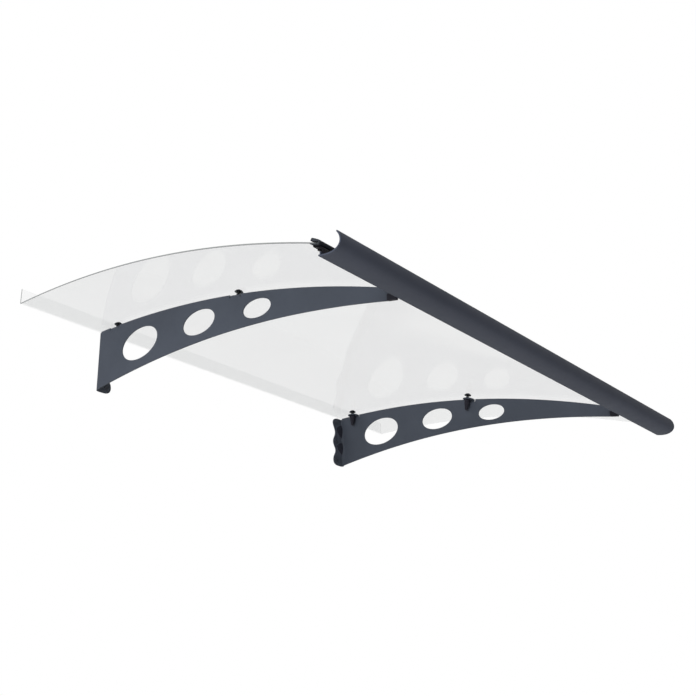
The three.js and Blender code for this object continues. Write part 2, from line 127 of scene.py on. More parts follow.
def catmull(points, per=8):
    """Centripetal Catmull-Rom through 2-D points, with the ends reflected."""
    p = [Vector(q) for q in points]
    p = [p[0] * 2 - p[1]] + p + [p[-1] * 2 - p[-2]]
    out = []
    for i in range(1, len(p) - 2):
        a, b, c, d = p[i - 1], p[i], p[i + 1], p[i + 2]
        t0 = 0.0
        t1 = t0 + (b - a).length ** 0.5
        t2 = t1 + (c - b).length ** 0.5
        t3 = t2 + (d - c).length ** 0.5
        for j in range(per):
            t = t1 + (t2 - t1) * j / per
            a1 = a * ((t1 - t) / (t1 - t0)) + b * ((t - t0) / (t1 - t0))
            a2 = b * ((t2 - t) / (t2 - t1)) + c * ((t - t1) / (t2 - t1))
            a3 = c * ((t3 - t) / (t3 - t2)) + d * ((t - t2) / (t3 - t2))
            b1 = a1 * ((t2 - t) / (t2 - t0)) + a2 * ((t - t0) / (t2 - t0))
            b2 = a2 * ((t3 - t) / (t3 - t1)) + a3 * ((t - t1) / (t3 - t1))
            q = b1 * ((t2 - t) / (t2 - t1)) + b2 * ((t - t1) / (t2 - t1))
            out.append((q.x, q.y))
    out.append(tuple(p[-2]))
    return out


def rounded(points, radii, steps=5):
    """A closed outline with its corners rounded; radii is one number or one for each corner."""
    n = len(points)
    if not hasattr(radii, "__len__"):
        radii = [radii] * n
    out = []
    for i in range(n):
        p, a, b = Vector(points[i]), Vector(points[i - 1]), Vector(points[(i + 1) % n])
        r = radii[i]
        u, v = (a - p), (b - p)
        lu, lv = u.length, v.length
        u.normalize()
        v.normalize()
        cosang = max(-1.0, min(1.0, u.dot(v)))
        ang = math.acos(cosang)
        if r <= 0 or ang > math.radians(176):
            out.append(tuple(p))
            continue
        cut = min(r / math.tan(ang / 2), lu * 0.45, lv * 0.45)
        r = cut * math.tan(ang / 2)
        mid = (u + v).normalized()
        centre = p + mid * (r / math.sin(ang / 2))
        q0, q1 = p + u * cut - centre, p + v * cut - centre
        a0, a1 = math.atan2(q0.y, q0.x), math.atan2(q1.y, q1.x)
        d = (a1 - a0 + math.pi) % (2 * math.pi) - math.pi
        for k in range(steps + 1):
            t = a0 + d * k / steps
            out.append((centre.x + r * math.cos(t), centre.y + r * math.sin(t)))
    return out


def inside(point, outline):
    x, y = point
    hit = False
    n = len(outline)
    for i in range(n):
        x0, y0 = outline[i]
        x1, y1 = outline[(i + 1) % n]
        if (y0 > y) != (y1 > y) and x < (x1 - x0) * (y - y0) / (y1 - y0) + x0:
            hit = not hit
    return hit


# ---------------------------------------------------------------- meshes
def put(p):
    return Vector((p[0] * MM, p[1] * MM, (p[2] + DATUM_Z) * MM))


def mesh_object(name, verts, faces, transform=put):
    me = bpy.data.meshes.new(name)
    me.from_pydata([transform(v) for v in verts], [], faces)
    me.validate()
    me.update()
    ob = bpy.data.objects.new(name, me)
    bpy.context.scene.collection.objects.link(ob)
    bm = bmesh.new()
    bm.from_mesh(me)
    bmesh.ops.recalc_face_normals(bm, faces=bm.faces)
    bm.to_mesh(me)
    bm.free()
    return ob


def bake(ob):
    """The object's modifiers become its mesh."""
    dg = bpy.context.evaluated_depsgraph_get()
    me = bpy.data.meshes.new_from_object(ob.evaluated_get(dg), preserve_all_data_layers=True, depsgraph=dg)
    old = ob.data
    ob.modifiers.clear()
    ob.data = me
    me.name = ob.name
    if old.users == 0:
        bpy.data.meshes.remove(old)
    return ob


def soften(ob, width, segments=2, angle=38.0):
    """Rounds the sharp edges and keeps the flat faces flat."""
    m = ob.modifiers.new("edges", "BEVEL")
    m.width = width * MM
    m.segments = segments
    m.limit_method = "ANGLE"
    m.angle_limit = math.radians(angle)
    m.use_clamp_overlap = True
    m.loop_slide = True
    shade(ob, 60.0)
    w = ob.modifiers.new("normals", "WEIGHTED_NORMAL")
    w.mode = "FACE_AREA"
    w.weight = 90
    w.keep_sharp = True
    return bake(ob)


def shade(ob, angle=35.0):
    me = ob.data
    me.polygons.foreach_set("use_smooth", [True] * len(me.polygons))
    me.set_sharp_from_angle(angle=math.radians(angle))
    me.update()


def boolean(ob, other, operation):
    m = ob.modifiers.new("cut", "BOOLEAN")
    m.object = other
    m.operation = operation
    m.solver = "EXACT"
    bake(ob)
    me = other.data
    bpy.data.objects.remove(other)
    bpy.data.meshes.remove(me)
    return ob


def prism(name, outline, x0, x1, transform=put):
    """A closed (y, z) outline pushed along X."""
    n = len(outline)
    verts = [(x0, a, b) for a, b in outline] + [(x1, a, b) for a, b in outline]
    faces = [list(range(n)), list(range(2 * n - 1, n - 1, -1))]
    faces += [[i, (i + 1) % n, n + (i + 1) % n, n + i] for i in range(n)]
    return mesh_object(name, verts, faces, transform)


def lathe(name, profile, segments, transform, breaks=True):
    """[radius, height] points turned about the local Z axis; the ends lie on the axis, or the profile closes on itself."""
    closed = profile[0] == profile[-1]
    pts = list(profile[:-1]) if closed else list(profile)
    verts, rings = [], []
    for r, h in pts:
        if r < 1e-6:
            rings.append([len(verts)])
            verts.append((0.0, 0.0, h))
        else:
            rings.append(list(range(len(verts), len(verts) + segments)))
            for k in range(segments):
                a = 2 * math.pi * k / segments
                verts.append((r * math.cos(a), r * math.sin(a), h))
    faces = []
    pairs = list(zip(rings, rings[1:])) + ([(rings[-1], rings[0])] if closed else [])
    for a, b in pairs:
        for k in range(segments):
            k1 = (k + 1) % segments
            if len(a) == 1 and len(b) == 1:
                continue
            if len(a) == 1:
                faces.append([a[0], b[k1], b[k]])
            elif len(b) == 1:
                faces.append([a[k], a[k1], b[0]])
            else:
                faces.append([a[k], a[k1], b[k1], b[k]])
    return mesh_object(name, verts, faces, transform)


def sheet(name, outer, holes, lines, fold, half):
    """A folded sheet of metal: its flat pattern is cut into triangles that keep to the fold lines, then each
    side is bent by fold(u, v, h), h being the distance from the sheet's middle."""
    coords, edges = [], []

    def loop(points):
        start = len(coords)
        coords.extend(Vector(p) for p in points)
        n = len(points)
        edges.extend((start + i, start + (i + 1) % n) for i in range(n))

    loop(outer)
    for h in holes:
        loop(h)
    for a, b in lines:
        start = len(coords)
        coords.extend((Vector(a), Vector(b)))
        edges.append((start, start + 1))
    pts, _, tris, _, _, _ = delaunay_2d_cdt(coords, edges, [], 0, 1e-5, False)
    keep = []
    for t in tris:
        c = (sum(pts[i].x for i in t) / len(t), sum(pts[i].y for i in t) / len(t))
        if inside(c, outer) and not any(inside(c, h) for h in holes):
            area = sum(pts[t[i - 1]].x * pts[t[i]].y - pts[t[i]].x * pts[t[i - 1]].y for i in range(len(t)))
            keep.append(list(t) if area > 0 else list(reversed(t)))
    used = sorted({i for t in keep for i in t})
    new = {old: k for k, old in enumerate(used)}
    n = len(used)
    verts = [fold(pts[i].x, pts[i].y, half) for i in used] + [fold(pts[i].x, pts[i].y, -half) for i in used]
    faces, count = [], {}
    for t in keep:
        t = [new[i] for i in t]
        faces.append(t)
        faces.append([i + n for i in reversed(t)])
        for i in range(len(t)):
            count[(t[i - 1], t[i])] = count.get((t[i - 1], t[i]), 0) + 1
    for (a, b) in count:
        if (b, a) not in count:
            faces.append([b, a, a + n, b + n])
    return mesh_object(name, verts, faces)


# ---------------------------------------------------------------- materials
def nodes_of(mat):
    mat.use_nodes = True
    nt = mat.node_tree
    nt.nodes.clear()
    out = nt.nodes.new("ShaderNodeOutputMaterial")
    sh = nt.nodes.new("ShaderNodeBsdfPrincipled")
    nt.links.new(sh.outputs["BSDF"], out.inputs["Surface"])
    return nt, sh


def coords_of(nt, scale):
    tc = nt.nodes.new("ShaderNodeTexCoord")
    mp = nt.nodes.new("ShaderNodeMapping")
    mp.inputs["Scale"].default_value = scale
    nt.links.new(tc.outputs["Object"], mp.inputs["Vector"])
    return mp.outputs["Vector"]


def noise(nt, vector, scale, detail=2.0, rough=0.5):
    n = nt.nodes.new("ShaderNodeTexNoise")
    n.inputs["Scale"].default_value = scale
    n.inputs["Detail"].default_value = detail
    n.inputs["Roughness"].default_value = rough
    nt.links.new(vector, n.inputs["Vector"])
    return n.outputs["Fac"]


def spread(nt, value, low, high, start=0.3, end=0.7):
    m = nt.nodes.new("ShaderNodeMapRange")
    m.inputs["From Min"].default_value = start
    m.inputs["From Max"].default_value = end
    m.inputs["To Min"].default_value = low
    m.inputs["To Max"].default_value = high
    nt.links.new(value, m.inputs["Value"])
    return m.outputs["Result"]


def ramp(nt, value, stops):
    r = nt.nodes.new("ShaderNodeValToRGB")
    el = r.color_ramp.elements
    while len(el) < len(stops):
        el.new(0.5)
    for e, (pos, col) in zip(el, stops):
        e.position = pos
        e.color = (*col, 1.0)
    nt.links.new(value, r.inputs["Fac"])
    return r.outputs["Color"]


def bump(nt, sh, heights):
    """Stacks (height, strength, distance) bumps onto the shader's normal."""
    last = None
    for height, strength, distance in heights:
        b = nt.nodes.new("ShaderNodeBump")
        b.inputs["Strength"].default_value = strength
        b.inputs["Distance"].default_value = distance
        nt.links.new(height, b.inputs["Height"])
        if last is not None:
            nt.links.new(last, b.inputs["Normal"])
        last = b.outputs["Normal"]
    nt.links.new(last, sh.inputs["Normal"])


def painted(name, dark, base, light, rough, peel=0.12, level=0.5, streaks=0.0):
    """Powder coat: a fine pebbled skin, and slow changes of tone and gloss."""
    mat = bpy.data.materials.new(name)
    nt, sh = nodes_of(mat)
    v = coords_of(nt, (1, 1, 1))
    tone = noise(nt, v, 5.0, 3.0, 0.55)
    sh.inputs["Metallic"].default_value = 0.0
    sh.inputs["Specular IOR Level"].default_value = level
    nt.links.new(ramp(nt, tone, [(0.30, dark), (0.5, base), (0.70, light)]), sh.inputs["Base Color"])
    gloss = noise(nt, v, 34.0, 3.0, 0.6)
    nt.links.new(spread(nt, gloss, rough - 0.05, rough + 0.05), sh.inputs["Roughness"])
    pebble = noise(nt, v, 1150.0, 2.0, 0.5)
    orange = noise(nt, v, 260.0, 1.0, 0.4)
    heights = [(orange, peel, 0.0002), (pebble, peel, 0.00006)]
    if streaks:
        along = noise(nt, coords_of(nt, (0.35, 620.0, 620.0)), 1.0, 3.0, 0.6)
        heights.append((along, streaks, 0.00005))
    bump(nt, sh, heights)
    return mat


def moulded(name, dark, base, rough, grain=0.2, level=0.5, grain_scale=900.0):
    """Moulded plastic or rubber: fine spark-eroded grain, with slow changes of gloss."""
    mat = bpy.data.materials.new(name)
    nt, sh = nodes_of(mat)
    v = coords_of(nt, (1, 1, 1))
    tone = noise(nt, v, 60.0, 2.0, 0.5)
    sh.inputs["Specular IOR Level"].default_value = level
    nt.links.new(ramp(nt, tone, [(0.35, dark), (0.65, base)]), sh.inputs["Base Color"])
    gloss = noise(nt, v, 110.0, 2.0, 0.5)
    nt.links.new(spread(nt, gloss, rough - 0.06, rough + 0.06), sh.inputs["Roughness"])
    fine = noise(nt, v, grain_scale, 2.0, 0.6)
    bump(nt, sh, [(fine, grain, 0.00006)])
    return mat


def clear_sheet(name, colour, alpha, rough=0.03):
    """Clear extruded sheet: hardly any tint, a soft gloss, a long slow waviness and a trace of dust."""
    mat = bpy.data.materials.new(name)
    nt, sh = nodes_of(mat)
    v = coords_of(nt, (1, 1, 1))
    dust = noise(nt, v, 9.0, 4.0, 0.6)
    nt.links.new(ramp(nt, dust, [(0.3, colour), (0.7, tuple(min(1.0, c * 1.06) for c in colour))]), sh.inputs["Base Color"])
    nt.links.new(spread(nt, dust, rough, rough + 0.03), sh.inputs["Roughness"])
    nt.links.new(spread(nt, dust, alpha - 0.006, alpha + 0.006), sh.inputs["Alpha"])
    sh.inputs["IOR"].default_value = 1.49
    sh.inputs["Metallic"].default_value = 1.0
    wave = noise(nt, v, 3.2, 1.0, 0.3)
    bump(nt, sh, [(wave, 0.06, 0.002)])
    mat.use_transparent_shadow = True
    return mat


def cut_edge(name, colour, alpha):
    """The sheet's sawn edges: finely frosted, with a painted-shade colour for the near end and a lighter painted colour
    for the far end, so that they read as a thin grey line.
    """
    mat = bpy.data.materials.new(name)
    nt, sh = nodes_of(mat)
    saw = noise(nt, coords_of(nt, (40.0, 900.0, 900.0)), 1.0, 3.0, 0.6)
    nt.links.new(ramp(nt, saw, [(0.3, colour), (0.7, tuple(min(1.0, c * 1.15) for c in colour))]), sh.inputs["Base Color"])
    nt.links.new(spread(nt, saw, 0.35, 0.55), sh.inputs["Roughness"])
    sh.inputs["Alpha"].default_value = alpha
    bump(nt, sh, [(saw, 0.15, 0.00008)])
    return mat


# Far (+X) end edge: a lighter, fainter copy of the edge material, painted light for an edge seen through the sheet.
EDGE_FAR_PAINTED_LIGHT = cut_edge("clear_sheet_edge_far", (0.55, 0.58, 0.58), 0.12)
CLEAR = clear_sheet("clear_sheet", (0.88, 0.97, 0.96), 0.122)
# The upstand's copy of the clear sheet: its lower alpha is painted reflection, made weaker where the upstand is seen
# nearer face-on.
CLEAR_UP_DIMMED_REFLECTION = clear_sheet("clear_sheet_upstand", (0.88, 0.97, 0.96), 0.055)
# Near (-X) end edge: a dark copy of the edge material, painted shade for the dark edge line.
EDGE_NEAR_PAINTED_SHADE = cut_edge("clear_sheet_edge", (0.15, 0.165, 0.165), 0.75)
SLATE = painted("slate_powder_coat", (0.073, 0.085, 0.109), (0.080, 0.093, 0.120), (0.088, 0.102, 0.131), 0.52)
# A dark copy of the slate powder coat: painted shade for the gusset darts in the folds.
SLATE_PAINTED_SHADE = painted("slate_powder_coat_painted_shade_in_the_folds", (0.026, 0.028, 0.040), (0.031, 0.033, 0.047), (0.036, 0.039, 0.054), 0.62, level=0.3)
ANTHRACITE = painted("anthracite_powder_coat", (0.072, 0.083, 0.117), (0.079, 0.091, 0.127), (0.086, 0.099, 0.140), 0.45, streaks=0.10, level=0.4)
GREY = moulded("grey_moulding", (0.058, 0.064, 0.080), (0.066, 0.073, 0.089), 0.50, 0.12)
# A lighter copy of the black moulding for the cone nuts and tip clips: its lighter base colour is painted light on
# their lit sides; its satin gloss is real.
BLACK_PAINTED_LIGHTER = moulded("black_moulding_satin_painted_lighter", (0.019, 0.019, 0.028), (0.027, 0.026, 0.038), 0.38, 0.14, 0.4)
CHANNEL_BLACK = moulded("black_extrusion", (0.039, 0.044, 0.053), (0.049, 0.054, 0.065), 0.45, 0.10, 0.35)
BLACK = moulded("black_moulding", (0.004, 0.0035, 0.006), (0.007, 0.006, 0.009), 0.42, 0.18, 0.35)
RUBBER = moulded("seal_rubber", (0.009, 0.009, 0.010), (0.013, 0.013, 0.014), 0.75, 0.30, 0.4)
SCREW = moulded("black_oxide_steel", (0.016, 0.016, 0.019), (0.024, 0.024, 0.028), 0.36, 0.10)
SCREW.node_tree.nodes["Principled BSDF"].inputs["Metallic"].default_value = 0.6


def finish_piece(ob, node, slot, *mats):
    ob.data.materials.clear()
    for m in mats:
        ob.data.materials.append(m)
    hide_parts(node)
    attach(ob, "root")
    return ob


# ---------------------------------------------------------------- clear panel
def panel_outline():
    n = 150
    under, over = [], []
    for i in range(n + 1):
        y = PANEL_FRONT + (PANEL_BACK - UPSTAND_R - PANEL_FRONT) * i / n
        under.append(above(y, PANEL_LIFT))
        over.append(above(y, PANEL_LIFT + PANEL_T))
    cz = under[n][1] + UPSTAND_R
    line = list(under)
    for i in range(1, 15):
        a = i / 14 * math.pi / 2
        line.append((PANEL_BACK - UPSTAND_R + UPSTAND_R * math.sin(a), cz - UPSTAND_R * math.cos(a)))
    b, f = PANEL_BACK, PANEL_BACK - PANEL_T
    line += [(b, UPSTAND_TOP - 0.3), (b - 0.3, UPSTAND_TOP), (f + 0.3, UPSTAND_TOP), (f, UPSTAND_TOP - 0.3)]
    r = UPSTAND_R - PANEL_T
    for i in range(14, 0, -1):
        a = i / 14 * math.pi / 2
        line.append((PANEL_BACK - UPSTAND_R + r * math.sin(a), cz - r * math.cos(a)))
    line += reversed(over)
    return line


def make_panel():
    ob = prism("panel", panel_outline(), -WIDTH / 2, WIDTH / 2)
    for y in FIX_Y:
        for x in (-FIX_X, FIX_X):
            spot = Matrix.Translation(put((x, y, top_z(y)))) @ Matrix.Rotation(tilt(y), 4, "X")
            drill = lathe("drill", [(0, -20), (3.6, -20), (3.6, 20), (0, 20)], 48,
                          lambda p, m=spot: m @ (Vector(p) * MM))
            boolean(ob, drill, "DIFFERENCE")
    shade(ob, 30.0)
    finish_piece(ob, "roof_panel", "clear_panel", CLEAR, EDGE_NEAR_PAINTED_SHADE, EDGE_FAR_PAINTED_LIGHT, CLEAR_UP_DIMMED_REFLECTION)
    lim = (WIDTH / 2 - 0.05) * MM
    for f in ob.data.polygons:
        c = f.center
        # Sawn end faces: the near end takes the painted-shade edge copy, the far end the painted-light copy.
        if abs(c.x) > lim:
            f.material_index = 1 if c.x < 0 else 2
        # Upstand faces take the copy with the weaker painted reflection.
        elif c.y > (PANEL_BACK - UPSTAND_R * 0.75) * MM:
            f.material_index = 3
    return ob


# ---------------------------------------------------------------- front channel
CHANNEL_TILT = tilt(-897.0)
MID = above(CHANNEL_Y, PANEL_LIFT + PANEL_T / 2)


def channel_point(s, n):
    c, d = math.cos(CHANNEL_TILT), math.sin(CHANNEL_TILT)
    return (MID[0] - s * c - n * d, MID[1] - s * d + n * c)


def drill_at(x, y, z, angle, radius, low, high, segments=32):
    spot = Matrix.Translation(put((x, y, z))) @ Matrix.Rotation(angle, 4, "X")
    return lathe("drill", [(0, low), (radius, low), (radius, high), (0, high)], segments,
                 lambda p: spot @ (Vector(p) * MM))


def make_channel():
    radii = [0.4, 1.2, 1.2, 1.6, 0, 3, 2.2, 1.6, 1.6, 1.6, 2.0, 2.0, 1.0, 0.4, 0.5, 0.5, 0.5, 0.5]
    outline = rounded([channel_point(s, n) for s, n in CHANNEL_SECTION], radii, 5)
    ob = prism("channel", outline, -BAR_LENGTH / 2, BAR_LENGTH / 2)
    for x, s in ((TIP_SCREW_X, TIP_SCREW_S), (HANGER_X, HANGER_SCREW_S)):
        for side in (-1, 1):
            y, z = channel_point(s, -3.4)
            boolean(ob, drill_at(side * x, y, z, CHANNEL_TILT, 2.3, -2, 2), "DIFFERENCE")
    soften(ob, 0.2, 2, 50.0)
    return finish_piece(ob, "front_channel", "channel_plastic", CHANNEL_BLACK)


# ---------------------------------------------------------------- gutter
def gutter_curves():
    outer = catmull(GUTTER_OUTER, 10)
    inner = []
    for i, (y, z) in enumerate(outer):
        a, b = outer[max(0, i - 1)], outer[min(len(outer) - 1, i + 1)]
        t = Vector((b[0] - a[0], b[1] - a[1])).normalized()
        inner.append((y - t.y * GUTTER_T, z + t.x * GUTTER_T))
    return outer, inner


OUTSIDE, INSIDE = gutter_curves()


def gutter_floor(y):
    for i in range(len(INSIDE) - 1, 0, -1):
        (y0, z0), (y1, z1) = INSIDE[i - 1], INSIDE[i]
        if y0 <= y <= y1 and z0 < -205:
            return z0 + (z1 - z0) * (y - y0) / (y1 - y0)
    return INSIDE[-1][1]


def cap_arc(p, q, out, bulge, steps=6):
    """Points from p to q round a nose that stands `bulge` out along the direction `out`."""
    p, q = Vector(p), Vector(q)
    m, h = (p + q) / 2, (p - q) / 2
    o = Vector(out).normalized() * bulge
    return [tuple(m + h * math.cos(math.pi * k / steps) + o * math.sin(math.pi * k / steps)) for k in range(1, steps)]


def make_gutter():
    front = cap_arc(INSIDE[0], OUTSIDE[0], Vector(OUTSIDE[0]) - Vector(OUTSIDE[1]), 1.0)
    rear = cap_arc(OUTSIDE[-1], INSIDE[-1], Vector(OUTSIDE[-1]) - Vector(OUTSIDE[-2]), 0.75)
    line = front + list(OUTSIDE) + rear
    last = len(INSIDE) - 1
    for i in range(last, -1, -1):
        y = INSIDE[i][0]
        if i < last and INSIDE[i + 1][0] > RIB_REAR and y <= RIB_REAR:
            line += [(RIB_REAR, gutter_floor(RIB_REAR)), (RIB_REAR, RIB_TOP - 0.6), (RIB_REAR - 0.18, RIB_TOP - 0.18),
                     (RIB_REAR - 0.6, RIB_TOP), (RIB_FRONT + 0.6, RIB_TOP), (RIB_FRONT + 0.18, RIB_TOP - 0.18),
                     (RIB_FRONT, RIB_TOP - 0.6), (RIB_FRONT, gutter_floor(RIB_FRONT))]
        if RIB_FRONT < y < RIB_REAR:
            continue
        line.append(INSIDE[i])
    ob = prism("gutter", line, -BAR_LENGTH / 2, BAR_LENGTH / 2)
    soften(ob, 0.22, 2, 50.0)
    return finish_piece(ob, "gutter_profile", "gutter_paint", ANTHRACITE)


# ---------------------------------------------------------------- brackets
def tab_axes(t):
    y, z = above(t["y"], t["lift"])
    a = tilt(t["y"])
    normal = Vector((-math.sin(a), math.cos(a)))
    along = Vector((-math.cos(a), -math.sin(a)))
    return Vector((y, z)), along, normal


def tab_point(t, along, n):
    o, ta, tn = tab_axes(t)
    p = o + ta * along + tn * n
    return (p.x, p.y)


def bend(w, h):
    """(inward, outward) place of a point w past the start of a fold (its arc, then straight on)."""
    if w <= 0:
        return (SHEET / 2 - h, -BEND_R + w)
    if w < ARC:
        a = w / MID_R
        return (BEND_R - (MID_R + h) * math.cos(a), -BEND_R + (MID_R + h) * math.sin(a))
    return (BEND_R + (w - ARC), -SHEET / 2 + h)


def fold_sheet(side):
    def place(u, v, h):
        for t in TABS:
            o, ta, tn = tab_axes(t)
            d = Vector((u, v)) - o
            if abs(d.dot(ta)) <= t["len"] / 2 + 0.01 and d.dot(tn) > -BEND_R:
                x, n = bend(d.dot(tn) + BEND_R, h)
                p = o + ta * d.dot(ta) + tn * n
                return (side * (OUTER_X - x), p.x, p.y)
        x, y = bend(u + BEND_R, h)
        return (side * (OUTER_X - x), y, v)
    return place


def bracket_pattern():
    steps = 10
    flange_u = lambda x: -BEND_R + ARC + (x - BEND_R)
    arcs = [-BEND_R + ARC * k / steps for k in range(steps + 1)]
    lines = []
    relief, deep = 2.4, 7.0
    top = [(u, -3.0) for u in reversed(arcs)]                       # across the fold, towards the web
    top += [(-BEND_R - 1.2, -3.0), (-BEND_R - 3.5, top_z(-BEND_R - 3.5))]
    y = -BEND_R - 3.5 - 8
    step = 9.0
    for i, t in enumerate(TABS):
        half = t["len"] / 2
        start, end = t["y"] + half + relief, t["y"] - half - relief
        while y > start + 2:
            top.append((y, top_z(y)))
            y -= step
        top.append((start, top_z(start)))
        top.append(above(start, -deep))
        bends = [-BEND_R + ARC * k / steps for k in range(steps + 1)]
        n_top = -BEND_R + ARC + (t["wide"] - BEND_R)
        c = t["round"]
        top.append(tab_point(t, -half, -deep - t["lift"]))
        top += [tab_point(t, -half, n) for n in bends]
        lines += [(tab_point(t, -half, n), tab_point(t, half, n)) for n in bends]
        m = 14
        top += [tab_point(t, -half + c - c * math.cos(math.pi / 2 * k / m), n_top - c + c * math.sin(math.pi / 2 * k / m)) for k in range(m + 1)]
        top += [tab_point(t, half - c + c * math.sin(math.pi / 2 * k / m), n_top - c + c * math.cos(math.pi / 2 * k / m)) for k in range(m + 1)]
        top += [tab_point(t, half, n) for n in reversed(bends)]
        if i < 2:
            top.append(tab_point(t, half, -deep - t["lift"]))
            top += [above(end, -deep), (end, top_z(end))]
            y = end - step / 2
        else:
            tip = tab_point(t, half, -BEND_R - 1 - t["lift"])
            top.append(tip)
    low = [(tip[0], NOTCH_Z), (NOTCH_Y, NOTCH_Z), (NOTCH_Y, low_z(NOTCH_Y))]
    q = NOTCH_Y + step
    while q < -10:
        low.append((q, low_z(q)))
        q += step
    low += [(-8.5, low_z(-8.5)), (-BEND_R - 0.8, -152.8)]
    low += [(u, -153.2) for u in arcs]
    free = catmull(EARS, 6)
    flange = [(flange_u(x), z) for x, z in reversed(free)]
    outer = top + low + [(flange_u(6.0), -153.9)] + flange + [(flange_u(6.0), -3.0)]
    lines += [((u, -3.0), (u, -153.2)) for u in arcs]
    holes = []
    for cy, cz, a, b, deg in HOLES:
        d = math.radians(deg)
        ring = []
        for k in range(120):
            s = 2 * math.pi * k / 120
            p, q = a * math.cos(s), b * math.sin(s)
            ring.append((cy + p * math.cos(d) - q * math.sin(d), cz + p * math.sin(d) + q * math.cos(d)))
        holes.append(ring)
    for x, z in WALL_HOLES:
        holes.append([(flange_u(x) + 3.25 * math.cos(math.pi * k / 20), z + 3.25 * math.sin(math.pi * k / 20)) for k in range(40)])
    for t in TABS:
        n = -BEND_R + ARC + (t["hole_in"] - BEND_R)
        r = t["hole"] / 2
        holes.append([tab_point(t, -t["hole_back"] + r * math.cos(math.pi * k / 20), n + r * math.sin(math.pi * k / 20)) for k in range(40)])
    return outer, holes, lines


def gusset(name, side, g):
    """A dart pressed into the fold: a smooth ridge from web to flange that dies out above and below."""
    rows, cols = 28, 14
    verts, faces = [], []
    peak = (g["top"] - g["ridge"]) / (g["top"] - g["low"])
    for i in range(rows + 1):
        t = i / rows
        z = g["top"] + (g["low"] - g["top"]) * t
        s = math.sin(math.pi / 2 * min(1.0, t / peak)) if t < peak else math.cos(math.pi / 2 * (t - peak) / (1 - peak))
        s = max(0.0, s) ** 0.8
        fx = SHEET + (g["flange"] - SHEET) * s
        wy = SHEET + (g["web"] - SHEET) * s
        ring = []
        for j in range(cols + 1):
            w = j / cols * math.pi / 2
            k = 1.35
            x = SHEET - 0.8 + (fx - SHEET + 0.8) * math.sin(w) ** k
            y = -SHEET + 0.8 - (wy - SHEET + 0.8) * math.cos(w) ** k
            ring.append(len(verts))
            verts.append((side * (OUTER_X - x), y, z))
        ring.append(len(verts))
        verts.append((side * (OUTER_X - (SHEET - 0.8)), -SHEET + 0.8, z))
    m = cols + 2
    for i in range(rows):
        for j in range(m):
            a, b = i * m + j, i * m + (j + 1) % m
            faces.append([a, b, b + m, a + m])
    faces.append(list(range(m)))
    faces.append(list(range(rows * m + m - 1, rows * m - 1, -1)))
    return mesh_object(name, verts, faces)


def make_bracket(side, word):
    outer, holes, lines = bracket_pattern()
    ob = sheet("bracket_" + word + "_sheet", outer, holes, lines, fold_sheet(side), SHEET / 2)
    soften(ob, 0.35, 2, 38.0)
    for k, g in enumerate(GUSSETS):
        dart = gusset("dart", side, g)
        shade(dart, 50.0)
        boolean(ob, dart, "UNION")
    finish_piece(ob, "bracket_" + word, "bracket_paint", SLATE, SLATE_PAINTED_SHADE)
    # Gusset faces take the dark copy: painted shade in the folds.
    for f in ob.data.polygons:
        x, y, z = OUTER_X - abs(f.center.x) / MM, -f.center.y / MM, f.center.z / MM - DATUM_Z
        for g in GUSSETS:
            if x > SHEET + 0.15 and SHEET + 0.15 < y < g["web"] + 0.5 and g["low"] < z < g["top"]:
                f.material_index = 1
    return ob


# ---------------------------------------------------------------- tip clips and gutter hangers
def make_clip(side, word):
    mid = OUTER_X - SHEET / 2
    line = [
        (NOTCH_Y - GAP, low_z(NOTCH_Y - GAP) + 0.2), (NOTCH_Y - GAP, -198.6), (NOTCH_Y - 1.5, -198.0),
        (-903.5, -198.0), (-905.4, -199.5), (-905.4, -208.2), (-909.8, -208.2),
        (-910.4, gutter_floor(-910.4) + GAP), (-908, gutter_floor(-908) + GAP), (-905.6, gutter_floor(-908) + GAP),
        (-905.4, -214.9), (-904.6, -215.2),
    ]
    x0, x1 = sorted((side * (mid - 3.4), side * (mid + 3.4)))
    ob = prism("clip_" + word, line, x0, x1)
    w = SHEET / 2 + GAP
    slot_line = [(-930.0, NOTCH_Z - GAP), (-860.0, NOTCH_Z - GAP), (-860.0, NOTCH_Z + 20), (-930.0, NOTCH_Z + 20)]
    s0, s1 = sorted((side * (mid - w), side * (mid + w)))
    boolean(ob, prism("slot", slot_line, s0, s1), "DIFFERENCE")
    soften(ob, 0.3, 2, 30.0)
    return finish_piece(ob, "tip_clip_" + word, "black_plastic", BLACK_PAINTED_LIGHTER)


def make_hanger(side, word):
    under = lambda s: channel_point(s, -4.2 - GAP)
    below = lambda s: channel_point(s, -4.2 - GAP - 2.5)
    foot = lambda y: (y, gutter_floor(y) + 0.45)
    line = [
        under(2.0), below(2.0), below(15.2), (-914.2, -203.2), (-908.8, -203.2),
        foot(-908.8), foot(RIB_REAR + GAP), (RIB_REAR + GAP, RIB_TOP + GAP), (RIB_FRONT - GAP, RIB_TOP + GAP),
        foot(RIB_FRONT - GAP), foot(-916), foot(-919), foot(-922), foot(-925),
        (-925, gutter_floor(-925) + 3.0), (-917.4, -206.4), (-917.0, -200.0), under(21.0), under(17.5),
    ]
    radii = [0.6, 0.6, 1.5, 1.5, 1.2, 0.6, 0.3, 0.3, 0.3, 0.3, 0, 0, 0, 0.5, 0.8, 2.0, 1.5, 0.6, 0]
    x0, x1 = sorted((side * (HANGER_X - HANGER_W / 2), side * (HANGER_X + HANGER_W / 2)))
    ob = prism("hanger_" + word, rounded(line, radii, 4), x0, x1)
    y, z = channel_point(HANGER_SCREW_S, -6)
    boolean(ob, drill_at(side * HANGER_X, y, z, CHANNEL_TILT, 2.5, -6, 6), "DIFFERENCE")
    soften(ob, 0.25, 2, 40.0)
    return finish_piece(ob, "gutter_hanger_" + word, "black_plastic", BLACK)


